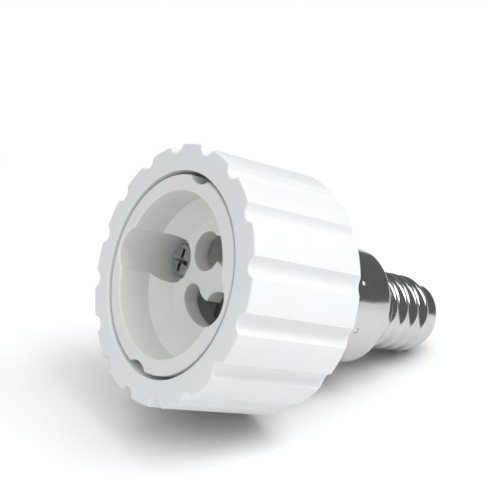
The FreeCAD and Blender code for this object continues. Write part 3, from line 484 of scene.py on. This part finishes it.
# surfaces are told apart by the facets' places and directions
SAME_PLACE = 0.002 * MM
LEVEL = 0.9999
UPRIGHT = 0.02
BLEND_REACH = math.radians(40)

# points closer than the first are one point, and faces thinner than the second go
SAME_POINT = 0.0005 * MM
INSERT_SLIVER = 0.0002 * MM

# round walls, each by its turn and distance from the axis, and its radius
turned_walls = [(0, 0, radius) for radius in (
    CUP_RADIUS, INSERT_RADIUS, PIN_CIRCLE - SLOT_HALF, PIN_CIRCLE + SLOT_HALF,
    CHAMBER_CIRCLE - CHAMBER_HALF, CHAMBER_CIRCLE + CHAMBER_HALF)]
for half_turn in (0, math.pi):
    turned_walls += [(math.pi / 2 + half_turn, BOSS_CIRCLE, radius)
                     for radius in (CHANNEL_RADIUS, SCREW_HOLE_RADIUS, BOSS_POCKET_RADIUS)]
    turned_walls += [(half_turn - PIN_TURN, PIN_CIRCLE, ENTRY_RADIUS),
                     (half_turn + PIN_TURN, PIN_CIRCLE, SLOT_HALF),
                     (half_turn - PIN_TURN, CHAMBER_CIRCLE, CHAMBER_HALF),
                     (half_turn + PIN_TURN, CHAMBER_CIRCLE, CHAMBER_HALF),
                     (half_turn, NOTCH_CIRCLE, NOTCH_RADIUS)]
wall_centres = [(Vector((away * math.cos(turn), away * math.sin(turn), 0)), radius)
                for turn, away, radius in turned_walls]


def true_normals(face):
    """Normals of the flat, round or sloping surface that a facet of the insert lies on."""
    facing = face.normal
    if abs(facing.z) > LEVEL:
        return [Vector((0, 0, math.copysign(1, facing.z)))] * len(face.verts)
    for centre, radius in wall_centres:
        arms = [(vert.co - centre).xy for vert in face.verts]
        if all(abs(arm.length - radius) < SAME_PLACE for arm in arms) and abs(facing.z) < UPRIGHT:
            side = math.copysign(1, facing.xy.dot(arms[0]))
            return [(arm.normalized() * side).to_3d() for arm in arms]
    slope = (CUP_RADIUS - CUP_FLOOR_RADIUS) / (CUP_FLOOR - CUP_WALL_END)
    if all(abs(vert.co.xy.length - CUP_RADIUS + (vert.co.z - CUP_WALL_END) * slope) < SAME_PLACE
           for vert in face.verts):
        return [Vector((-vert.co.x, -vert.co.y, -slope * vert.co.xy.length)).normalized()
                for vert in face.verts]
    return None


def blended(loop, exact):
    """Normal at a corner of a rounding: that of the surface it runs into, or a mean."""
    facing = loop.face.normal
    near = [exact[other] for other in loop.vert.link_loops if other in exact]
    near = [normal for normal in near if normal.angle(facing) < BLEND_REACH]
    if near:
        return min(near, key=lambda normal: normal.angle(facing))
    around = [other.face.normal * other.calc_angle() for other in loop.vert.link_loops
              if other.face.normal.angle(facing) < BLEND_REACH]
    return sum(around, Vector()).normalized()


def merge(shape, sliver):
    """Make one point of those in one place, and take out faces thinner than a sliver."""
    bmesh.ops.remove_doubles(shape, verts=shape.verts, dist=SAME_POINT)
    bmesh.ops.dissolve_degenerate(shape, edges=shape.edges, dist=sliver)


def moulding_copy(name, node, material):
    """A CAD node's own shape, merged, with the normals of its true surfaces."""
    mesh = frame["nodes"][node].data.copy()
    mesh.transform(to_row.inverted())
    shape = bmesh.new()
    shape.from_mesh(mesh)
    merge(shape, INSERT_SLIVER)
    shape.normal_update()
    exact = {}
    for face in shape.faces:
        normals = true_normals(face)
        if normals:
            exact.update(zip(face.loops, normals))
    turn = to_row.to_3x3()
    normals = [turn @ (exact.get(loop) or blended(loop, exact))
               for face in shape.faces for loop in face.loops]
    shape.to_mesh(mesh)
    shape.free()
    mesh.transform(to_row)
    mesh.materials.clear()
    mesh.materials.append(material)
    mesh.shade_smooth()
    mesh.normals_split_custom_set(normals)
    return in_scene(name, mesh)


insert_white = moulded_plastic("insert_white", pale=(0.79, 0.795, 0.78), deep=(0.765, 0.77, 0.755),
                               gloss=0.5, grain=0.02 * MM)
insert = moulding_copy("insert", "holder_insert", insert_white)
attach(insert, "root")
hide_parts("holder_insert")

# The plate behind the insert is stamped from a dark laminated board. The
# contacts are tinned spring strips on it, each held by a brass rivet and
# soldered to its lead on the far side.


def worked_metal(name, pale, deep, gloss, grain=0.01 * MM):
    """Metal with a cloudy tarnish, uneven gloss and fine marks of handling."""
    material, tree, shader = new_material(name, pale, gloss, metallic=1.0)
    tree.links.new(tint(tree, noise(tree, scale=300), deep, pale), shader.inputs["Base Color"])
    smears = noise(tree, scale=900, detail=6)
    tree.links.new(spread(tree, smears, low=gloss - 0.06, high=gloss + 0.1),
                   shader.inputs["Roughness"])
    bump(tree, shader, noise(tree, scale=3500, detail=5), distance=grain, strength=0.4)
    return material


def dress(node, material):
    """Give a CAD node that keeps its own shape its finish."""
    slots = frame["nodes"][node].data.materials
    for number in range(len(slots)):
        slots[number] = material
    if not slots:
        slots.append(material)


plate_board = moulded_plastic("plate_board", pale=(0.05, 0.04, 0.034), deep=(0.035, 0.028, 0.024),
                              gloss=0.6, grain=0.03 * MM)
contact_bronze = worked_metal("contact_bronze", pale=(0.52, 0.49, 0.44), deep=(0.42, 0.39, 0.34),
                              gloss=0.34)
rivet_brass = worked_metal("rivet_brass", pale=(0.80, 0.66, 0.36), deep=(0.70, 0.56, 0.30),
                           gloss=0.3)
soft_solder = worked_metal("soft_solder", pale=(0.66, 0.67, 0.68), deep=(0.55, 0.56, 0.58),
                           gloss=0.38)
dress("contact_plate", plate_board)
dress("live_contact", contact_bronze)
dress("neutral_contact", contact_bronze)
dress("contact_rivets", rivet_brass)
dress("contact_solders", soft_solder)
dress("shell_solder", soft_solder)

# Two cross-head screws of plated steel hold the insert to the body's bosses.
# Head and shank are one turned piece, the recess is driven in with a tapered
# bit, and the thread is a round wave wound on the shank.
SCREW_SEAT = 11.3 * MM
HEAD_FRONT = 9.4 * MM
HEAD_RADIUS = 2.9 * MM
HEAD_ROUND = 0.8 * MM
HEAD_ROUND_START = -86
SHANK_ROOT = 1.16 * MM
SHANK_RISE = 0.28 * MM
SHANK_PITCH = 1.1 * MM
SHANK_TURNS = 5.0
SHANK_FADE = 0.3
SHANK_RINGS = 70
SHANK_MARGIN = 0.1 * MM
POINT_START = 18.4 * MM
SCREW_END = 19.9 * MM
SCREW_SEGMENTS = 64
RECESS_DEPTH = 1.45 * MM
WING_REACH = 1.95 * MM
WING_FOOT = 0.7 * MM
WING_HALF = 0.36 * MM
WING_FOOT_HALF = 0.22 * MM
BIT_RISE = 0.3 * MM
CUT_SLIVER = 0.0005 * MM


def eased(tree, value, low=0.0, high=1.0):
    """A value from low to high mapped to 0 to 1, with a soft start and end."""
    ramp = tree.nodes.new("ShaderNodeMapRange")
    ramp.interpolation_type = "SMOOTHSTEP"
    ramp.inputs["From Min"].default_value = low
    ramp.inputs["From Max"].default_value = high
    tree.links.new(value, ramp.inputs["Value"])
    return ramp.outputs["Result"]


# the thread is a wave of arcs of one radius: a crest reaches a quarter of the
# pitch to each side, and a root takes the rest. The climb of a point is its
# depth in turns of the thread, less its own turn about the axis.
thread_tree, given, result = node_tree("wound_thread", [
    ("Start", "NodeSocketFloat"), ("Pitch", "NodeSocketFloat"), ("Turns", "NodeSocketFloat"),
    ("Height", "NodeSocketFloat"), ("Round", "NodeSocketFloat"), ("Fade", "NodeSocketFloat")])
sizes = given.outputs
op = partial(figure, thread_tree)
x, y, z = point_places(thread_tree)
threaded = mark_of(thread_tree, "threaded")
own_turn = op("WRAP", op("DIVIDE", op("ARCTAN2", y, x), 2 * math.pi), 1.0, 0.0)
climb = op("SUBTRACT", op("DIVIDE", op("SUBTRACT", z, sizes["Start"]), sizes["Pitch"]), own_turn)
ridge = op("ROUND", climb)
from_crest = op("MULTIPLY", op("ABSOLUTE", op("SUBTRACT", climb, ridge)), sizes["Pitch"])
from_root = op("SUBTRACT", op("MULTIPLY", sizes["Pitch"], 0.5), from_crest)
round_squared = op("POWER", sizes["Round"], 2.0)


def arc_rise(distance):
    """How far the wave's arc has left its top or foot at a distance from it."""
    left = op("MAXIMUM", op("SUBTRACT", round_squared, op("MULTIPLY", distance, distance)), 0.0)
    return op("SUBTRACT", sizes["Round"], op("SQRT", left))


on_crest = op("LESS_THAN", from_crest, op("MULTIPLY", sizes["Pitch"], 0.25))
crest_rise = op("SUBTRACT", sizes["Height"], arc_rise(from_crest))
root_rise = arc_rise(from_root)
rise = op("ADD", op("MULTIPLY", on_crest, crest_rise),
          op("MULTIPLY", op("SUBTRACT", 1.0, on_crest), root_rise))
turns_done = op("ADD", ridge, own_turn)
turns_left = op("SUBTRACT", sizes["Turns"], turns_done)
for turns in (turns_done, turns_left):
    rise = op("MULTIPLY", rise, eased(thread_tree, op("DIVIDE", turns, sizes["Fade"])))
rise = op("MULTIPLY", rise, threaded)
radius = from_axis(thread_tree, x, y)
grow = op("DIVIDE", op("ADD", radius, rise), radius)
close_tree(thread_tree, given, result, resized_rings(thread_tree, given, (x, y, z), grow))


def wave_round(rise, pitch):
    """Radius of a thread's crests and roots, from its height and its pitch."""
    return (rise ** 2 + pitch ** 2 / 4) / (4 * rise)


def cross_bit(name, top, foot):
    """Tapered cross between two levels, each a depth, an arm's reach and half its width."""
    shape = bmesh.new()
    ends = []
    for depth, reach, half in (top, foot):
        arm = [(reach, -half), (reach, half), (half, half)]
        corners = [Matrix.Rotation(quarter * math.pi / 2, 2) @ Vector(corner)
                   for quarter in range(4) for corner in arm]
        ends.append([shape.verts.new((*corner, depth)) for corner in corners])
    near, far = ends
    for number in range(len(near)):
        after = (number + 1) % len(near)
        shape.faces.new((near[number], near[after], far[after], far[number]))
    shape.faces.new(near)
    shape.faces.new(far)
    bmesh.ops.recalc_face_normals(shape, faces=shape.faces)
    return new_piece(name, shape)


def cut_away(piece, tool):
    """Take a tool's shape out of a piece, and put the tool away."""
    cut = piece.modifiers.new("cut", "BOOLEAN")
    cut.operation = "DIFFERENCE"
    cut.solver = "EXACT"
    cut.object = tool
    keep_result(piece)
    bpy.data.objects.remove(tool)
    shape = bmesh.new()
    shape.from_mesh(piece.data)
    merge(shape, CUT_SLIVER)
    shape.to_mesh(piece.data)
    shape.free()


screw_steel = worked_metal("screw_steel", pale=(0.50, 0.51, 0.52), deep=(0.45, 0.46, 0.47),
                           gloss=0.28, grain=0.003 * MM)
screw_side = [(0, HEAD_FRONT)]
screw_side += arc((HEAD_RADIUS - HEAD_ROUND, HEAD_FRONT + HEAD_ROUND), HEAD_ROUND,
                  HEAD_ROUND_START, 0, steps=10)
screw_side += [(HEAD_RADIUS, SCREW_SEAT), (SHANK_ROOT, SCREW_SEAT)]
shank_first = len(screw_side)
screw_side += run((SHANK_ROOT, SCREW_SEAT + SHANK_MARGIN), (SHANK_ROOT, POINT_START), SHANK_RINGS)
shank_end = len(screw_side)
screw_side += [(SHANK_ROOT, POINT_START + SHANK_MARGIN), (0, SCREW_END)]
wound = [float(shank_first <= number < shank_end) for number in range(len(screw_side))]
screws = lathe("screws", screw_side, SCREW_SEGMENTS, closed=False, marks={"threaded": wound})
run_tree(screws, thread_tree, {
    "Start": SCREW_SEAT + SHANK_PITCH, "Pitch": SHANK_PITCH, "Turns": SHANK_TURNS,
    "Height": SHANK_RISE, "Round": wave_round(SHANK_RISE, SHANK_PITCH), "Fade": SHANK_FADE,
    "Material": screw_steel})
taper = BIT_RISE / RECESS_DEPTH
bit = cross_bit("bit", (HEAD_FRONT - BIT_RISE, WING_REACH + (WING_REACH - WING_FOOT) * taper,
                        WING_HALF + (WING_HALF - WING_FOOT_HALF) * taper),
                (HEAD_FRONT + RECESS_DEPTH, WING_FOOT, WING_FOOT_HALF))
cut_away(screws, bit)
screws.data.transform(Matrix.Translation((0, BOSS_CIRCLE, 0)))
run_tree(screws, around_tree, {"Count": BOSS_COUNT, "Start angle": 0.0, "Material": screw_steel})
place(screws)
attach(screws, "root")
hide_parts("fixing_screws")

# The cap is drawn from thin nickel-plated sheet: a plain skirt pressed over the
# neck, a rounded shoulder, and a rolled round thread that ends in a lip over
# the glass. It is a turned sheet that is threaded, and its windows are cut last.
SHEET = 0.32 * MM
SKIRT_RADIUS = 10.0 * MM
SKIRT_START = 21.25 * MM
SKIRT_END = NECK_END + SHEET
SKIRT_RINGS = (25 * MM, 34 * MM)
SHOULDER_ROUND = 0.9 * MM
FOOT_ROUND = 0.25 * MM
ROOT_RADIUS = 6.05 * MM
CREST_HEIGHT = 0.89 * MM
PITCH = 2.822 * MM
THREAD_LEAD = 1.75 * MM
THREAD_RUNOUT = 1.8 * MM
THREAD_START = SKIRT_END + THREAD_LEAD
THREAD_TURNS = 5.0
THREAD_FADE = 0.22
CAP_END = THREAD_START + THREAD_TURNS * PITCH + THREAD_RUNOUT
END_ROUND = 0.42 * MM
LIP_RADIUS = 4.4 * MM
CAP_SEGMENTS = 160
THREAD_RINGS = 132
WINDOW_WIDTH = 0.8 * MM
WINDOW_START = 31.55 * MM
WINDOW_END = 32.25 * MM
DRAWN_LINES = (14, 1, 1)

nickel, tree, shader = new_material("nickel", (0.56, 0.567, 0.575), 0.12, metallic=1.0)
cloud = noise(tree, scale=260, detail=5)
smears = noise(tree, scale=1200, detail=6)
slope = math.atan2(-axis.z, axis.x)
lines = noise(tree, scale=900, detail=4, stretch=DRAWN_LINES, turn=(0, -slope, 0))
tree.links.new(tint(tree, cloud, low=(0.545, 0.552, 0.56), high=(0.58, 0.587, 0.595)),
               shader.inputs["Base Color"])
tree.links.new(spread(tree, smears, low=0.09, high=0.17), shader.inputs["Roughness"])
bump(tree, shader, lines, distance=0.004 * MM, strength=0.25)

shoulder_centre = (SKIRT_RADIUS - SHOULDER_ROUND, SKIRT_END - SHOULDER_ROUND)
end_centre = (ROOT_RADIUS - END_ROUND, CAP_END - END_ROUND)
outer_top = (ROOT_RADIUS, SKIRT_END + FOOT_ROUND)
outer_low = (ROOT_RADIUS, CAP_END - END_ROUND)
inner_top = (ROOT_RADIUS - SHEET, NECK_END)
inner_low = (ROOT_RADIUS - SHEET, CAP_END - END_ROUND)
sheet = [(SKIRT_RADIUS, depth) for depth in (SKIRT_START, *SKIRT_RINGS)]
sheet += arc(shoulder_centre, SHOULDER_ROUND, 0, 90, steps=8)
sheet += arc((ROOT_RADIUS + FOOT_ROUND, SKIRT_END + FOOT_ROUND), FOOT_ROUND, 270, 180, steps=4)[:-1]
outer_first = len(sheet)
sheet += run(outer_top, outer_low, THREAD_RINGS)
outer_end = len(sheet)
sheet += arc(end_centre, END_ROUND, 0, 90, steps=6)
sheet += [(LIP_RADIUS, CAP_END), (LIP_RADIUS, CAP_END - SHEET)]
sheet += arc(end_centre, END_ROUND - SHEET, 90, 0, steps=3)[:-1]
inner_first = len(sheet)
sheet += run(inner_low, inner_top, THREAD_RINGS // 2)
inner_end = len(sheet)
sheet += [inner_top]
sheet += arc(shoulder_centre, SHOULDER_ROUND - SHEET, 90, 0, steps=4)
sheet += [(SKIRT_RADIUS - SHEET, SKIRT_START)]
rolled = [float(outer_first <= number < outer_end or inner_first <= number < inner_end)
          for number in range(len(sheet))]

cap = lathe("cap", sheet, CAP_SEGMENTS, marks={"threaded": rolled})
run_tree(cap, thread_tree, {
    "Start": THREAD_START, "Pitch": PITCH, "Turns": THREAD_TURNS, "Height": CREST_HEIGHT,
    "Round": wave_round(CREST_HEIGHT, PITCH), "Fade": THREAD_FADE, "Material": nickel})
windows = block("windows", (NECK_RADIUS - SHEET, -WINDOW_WIDTH / 2, WINDOW_START),
                (SKIRT_RADIUS + SHEET, WINDOW_WIDTH / 2, WINDOW_END))
run_tree(windows, around_tree, {"Count": LUG_COUNT, "Start angle": LUG_ANGLE,
                                "Material": nickel})
cut_away(cap, windows)
place(cap)
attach(cap, "root")
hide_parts("screw_cap")

# The end of the cap is closed with black glass, run in hot round a brass
# eyelet, and a drop of solder on the eyelet holds the live lead.
black_glass = moulded_plastic("black_glass", pale=(0.02, 0.02, 0.024), deep=(0.012, 0.012, 0.014),
                              gloss=0.12, grain=0.006 * MM)
dress("tip_insulator", black_glass)
dress("centre_contact", rivet_brass)
dress("tip_solder", soft_solder)

# Two leads run inside from the contacts, the live one to the eyelet and the
# neutral one to the cap. Each is stranded copper in a white sleeve.
lead_copper = worked_metal("lead_copper", pale=(0.80, 0.46, 0.28), deep=(0.66, 0.36, 0.22),
                           gloss=0.3)
sleeve_white = moulded_plastic("sleeve_white", pale=(0.82, 0.82, 0.80), deep=(0.78, 0.78, 0.75),
                               gloss=0.5, grain=0.02 * MM)
dress("live_lead_core", lead_copper)
dress("neutral_lead_core", lead_copper)
dress("live_lead_sleeve", sleeve_white)
dress("neutral_lead_sleeve", sleeve_white)

# The floor is a wide sheet of matt white paper. Away from the object it shows
# as plain white, also in the metal. Near the object it keeps the shadow, and a
# painted shade, grey mixed into its colour by an ambient occlusion node, darkens
# it as the camera sees it where the gap under the object is narrow.
FLOOR_REACH = 6.0
SHADOW_REACH = 0.07
WHITE_REACH = 0.16
PAPER_LIT = (0.80, 0.80, 0.80)
PAPER_SEEN = (0.98, 0.98, 0.98)
PAPER_GRAIN = (0.97, 0.97, 0.97)
# painted shade: the grey that the paper's colour turns to under the object, and how far and how
# strongly the ambient occlusion that paints it reaches
PAINTED_SHADE_GREY = (0.53, 0.535, 0.545)
PAINTED_SHADE_REACH = 9 * MM
PAINTED_SHADE_CLOSED = 0.2
PAINTED_SHADE_OPEN = 0.8


def seen_rays(tree):
    """Factor of the rays that show a background: camera, glossy and transmission."""
    path = tree.nodes.new("ShaderNodeLightPath")
    seen = figure(tree, "MAXIMUM", path.outputs["Is Camera Ray"], path.outputs["Is Glossy Ray"])
    return figure(tree, "MAXIMUM", seen, path.outputs["Is Transmission Ray"])


def show_mixed(tree, share, first, second, output):
    """Lead two shaders, mixed by a share of the second, to a tree's output."""
    mix = tree.nodes.new("ShaderNodeMixShader")
    for socket, value in zip(mix.inputs, (share, first.outputs[0], second.outputs[0])):
        tree.links.new(value, socket)
    tree.links.new(mix.outputs[0], tree.nodes[output].inputs["Surface"])


mesh = bpy.data.meshes.new("floor")
corners = [(-FLOOR_REACH, -FLOOR_REACH, 0), (FLOOR_REACH, -FLOOR_REACH, 0),
           (FLOOR_REACH, FLOOR_REACH, 0), (-FLOOR_REACH, FLOOR_REACH, 0)]
mesh.from_pydata(corners, [], [(0, 1, 2, 3)])
floor = in_scene("floor", mesh)

paper, tree, shader = new_material("paper", PAPER_SEEN, roughness=0.9)
shader.inputs["Specular IOR Level"].default_value = 0.1
# painted shade: where the ambient occlusion finds the object close above, the paper's colour is
# mixed towards grey, except in reflections
contact = tree.nodes.new("ShaderNodeAmbientOcclusion")
contact.inputs["Distance"].default_value = PAINTED_SHADE_REACH
unshaded_share = eased(tree, contact.outputs["AO"], PAINTED_SHADE_CLOSED, PAINTED_SHADE_OPEN)
path = tree.nodes.new("ShaderNodeLightPath")
unpainted_share = figure(tree, "MAXIMUM", unshaded_share, path.outputs["Is Glossy Ray"])
grain = tint(tree, noise(tree, scale=40), PAPER_GRAIN, PAPER_SEEN)
paper_with_painted_shade = colour_between(tree, unpainted_share, PAINTED_SHADE_GREY, grain)
tone = colour_between(tree, seen_rays(tree), PAPER_LIT, paper_with_painted_shade)
tree.links.new(tone, shader.inputs["Base Color"])
place_node = tree.nodes.new("ShaderNodeTexCoord")
distance = tree.nodes.new("ShaderNodeVectorMath")
distance.operation = "LENGTH"
tree.links.new(place_node.outputs["Object"], distance.inputs[0])
far = eased(tree, distance.outputs["Value"], SHADOW_REACH, WHITE_REACH)
plain_white = tree.nodes.new("ShaderNodeEmission")
show_mixed(tree, figure(tree, "MULTIPLY", seen_rays(tree), far), shader, plain_white,
           "Material Output")
mesh.materials.append(paper)

# Soft studio light: a wide pale ceiling over a dim room, panels overhead and
# high on the right, and weak ones at the left and beside the camera. Metal
# mirrors the floor, two panels and a dim room; the camera sees plain white.
LAMPS = [
    ("key", (0.44, -0.42, 0.78), 0.60, 5.0, True),
    ("top", (0.06, -0.14, 0.90), 0.44, 0.9, True),
    ("left", (-0.84, -0.20, 0.50), 0.60, 2.5, False),
    ("front", (-0.05, -0.94, 0.26), 0.50, 1.9, False),
]
ROOM_GREY = (0.135, 0.137, 0.142)
MIRRORED_GREY = (0.155, 0.157, 0.158)
CEILING_WHITE = (0.75, 0.76, 0.77)
CEILING_START = 0.45
CEILING_FULL = 0.75
for name, spot, side, power, mirrored in LAMPS:
    light = bpy.data.lights.new(name, "AREA")
    light.shape = "SQUARE"
    light.size = side
    light.energy = power
    lamp = in_scene(name, light)
    lamp.location = spot
    lamp.visible_glossy = mirrored
    lamp.rotation_euler = Vector(spot).to_track_quat("Z", "Y").to_euler()
world = bpy.data.worlds.new("studio")
world.use_nodes = True
tree = world.node_tree
direction = tree.nodes.new("ShaderNodeTexCoord")
parts = tree.nodes.new("ShaderNodeSeparateXYZ")
tree.links.new(direction.outputs["Generated"], parts.inputs[0])
height = eased(tree, parts.outputs["Z"], CEILING_START, CEILING_FULL)
surround = colour_between(tree, height, ROOM_GREY, CEILING_WHITE)
path = tree.nodes.new("ShaderNodeLightPath")
room_tone = colour_between(tree, path.outputs["Is Glossy Ray"], surround, MIRRORED_GREY)
room = tree.nodes["Background"]
tree.links.new(room_tone, room.inputs["Color"])
backdrop = tree.nodes.new("ShaderNodeBackground")
backdrop.inputs["Color"].default_value = (1, 1, 1, 1)
seen = figure(tree, "MAXIMUM", path.outputs["Is Camera Ray"], path.outputs["Is Transmission Ray"])
show_mixed(tree, seen, room, backdrop, "World Output")
bpy.context.scene.world = world
bpy.context.scene.view_settings.view_transform = "Standard"

# The camera stands close in front of the object and to its left, on the cup's
# side, and looks a little down. Its place and turn are in the adapter's frame.
CAMERA_SPOT = (24.738 * MM, 97.458 * MM, -71.150 * MM)
CAMERA_RIGHT = (0.3220, 0.5856, 0.7439)
CAMERA_UP = (0.9357, -0.3167, -0.1557)
CAMERA_LENS = 61.39
view = bpy.data.cameras.new("camera")
view.lens = CAMERA_LENS
view.sensor_width = 36.0
view.clip_start = 0.01
view.clip_end = 50.0
camera = in_scene("camera", view)
right = Vector(CAMERA_RIGHT).normalized()
back = right.cross(Vector(CAMERA_UP)).normalized()
turn = Matrix((right, back.cross(right), back)).transposed().to_4x4()
camera.matrix_world = to_row @ Matrix.Translation(CAMERA_SPOT) @ turn
bpy.context.scene.camera = camera
